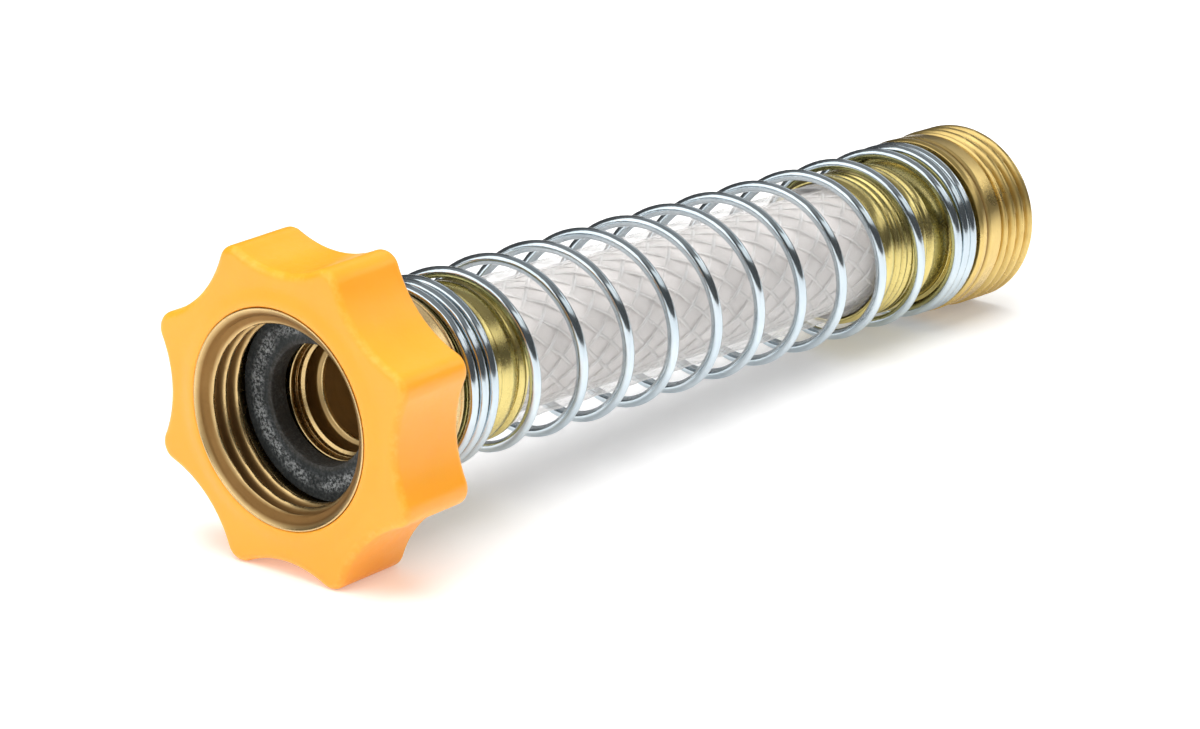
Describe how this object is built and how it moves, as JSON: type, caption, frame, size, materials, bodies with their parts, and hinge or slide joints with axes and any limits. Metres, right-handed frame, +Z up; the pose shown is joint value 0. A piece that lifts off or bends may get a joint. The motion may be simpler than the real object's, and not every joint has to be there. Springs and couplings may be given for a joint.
{
  "type": "flexible hose protector",
  "caption": "Short braided water hose in a guard spring, with a lobed swivel nut inlet and a brass threaded outlet.",
  "frame": {"origin": "centre of the inlet nut's mouth, on the nut's axis", "axes": "+X from the inlet's mouth towards the outlet, along the nut's axis; +Z up as it rests on a table; +Y to its left"},
  "size_m": [0.1529, 0.0426, 0.0426],
  "materials": {
    "grip_plastic": "satin gloss moulded plastic, yellow-orange",
    "brass": "machined, bright",
    "ferrule_brass": "rolled, bright, slightly green-gold",
    "washer_rubber": "matt, speckled",
    "hose_liner_pvc": "milky",
    "braid_yarn": "white polyester yarn",
    "hose_jacket_pvc": "clear, glossy",
    "zinc_wire": "bright zinc plate, bluish"
  },
  "bodies": {
    "inlet_end": {"inlet_stem": "brass", "inlet_ferrule": "ferrule_brass"},
    "washer": {"hose_washer": "washer_rubber"},
    "swivel": {"grip": "grip_plastic", "swivel_nut": "brass"},
    "hose": {"hose_liner": "hose_liner_pvc", "hose_braid": "braid_yarn", "hose_jacket": "hose_jacket_pvc", "guard_spring": "zinc_wire"},
    "outlet_end": {"outlet_ferrule": "ferrule_brass", "outlet_fitting": "brass"}
  },
  "joints": [
    {"name": "nut_rock", "type": "hinge", "parent": "inlet_end", "child": "washer", "pos_m": [0.01195, 0, 0], "axis": [0, 1, 0], "range_deg": [0, 6.42]},
    {"name": "swivel_spin", "type": "hinge", "parent": "washer", "child": "swivel", "pos_m": [0.01195, 0, 0], "axis": [1, 0, 0], "continuous": true},
    {"name": "inlet_bend", "type": "hinge", "parent": "inlet_end", "child": "hose", "pos_m": [0.0567, 0, -0.00251], "axis": [0, 1, 0], "range_deg": [-30, 30], "stiffness_Nm_per_rad": 4, "deforming": ["hose_liner", "hose_braid", "hose_jacket", "guard_spring"]},
    {"name": "outlet_bend", "type": "hinge", "parent": "hose", "child": "outlet_end", "pos_m": [0.09679, 0, -0.00476], "axis": [0, 1, 0], "range_deg": [-30, 30], "stiffness_Nm_per_rad": 4}
  ],
  "couplings": [
    {"joint": "outlet_bend", "follows": "inlet_bend", "ratio": 1}
  ]
}
